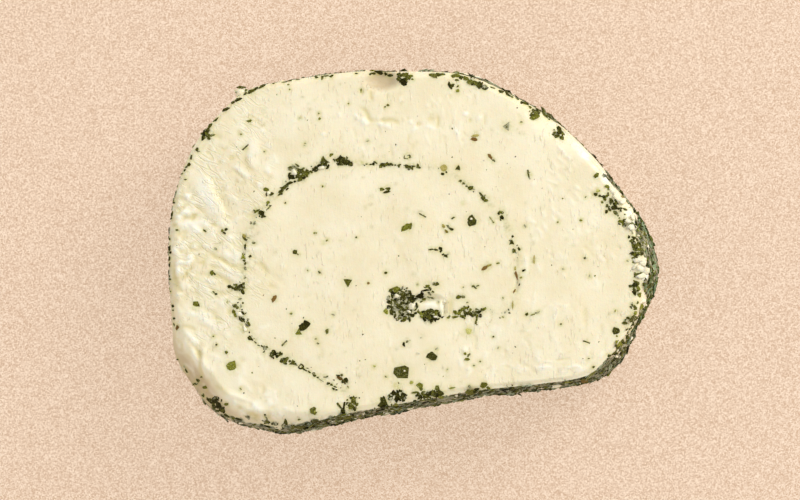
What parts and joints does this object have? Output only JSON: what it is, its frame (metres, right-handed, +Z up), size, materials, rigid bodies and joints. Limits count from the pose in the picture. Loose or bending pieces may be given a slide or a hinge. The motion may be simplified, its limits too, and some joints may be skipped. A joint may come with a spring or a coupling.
{
  "type": "herbed cream cheese slice",
  "caption": "Slice of rolled cream cheese lying on its back face, with a spiral herb seam in its cut face and a coat of chopped herbs round its side.",
  "frame": {"origin": "under the middle of the slice's outer box, on the surface that it lies on", "axes": "+Z up through the slice's thickness, +X along its longest extent, to the right of the slice as it is seen from above, +Y to the top of the slice as it is seen from above"},
  "size_m": [0.0982, 0.0726, 0.0223],
  "materials": {
    "cheese": "soft, slightly moist satin",
    "herbs": "dull, damp chopped leaf"
  },
  "bodies": {
    "root": {"cream_cheese": "cheese", "herb_seam": "herbs"}
  },
  "joints": []
}
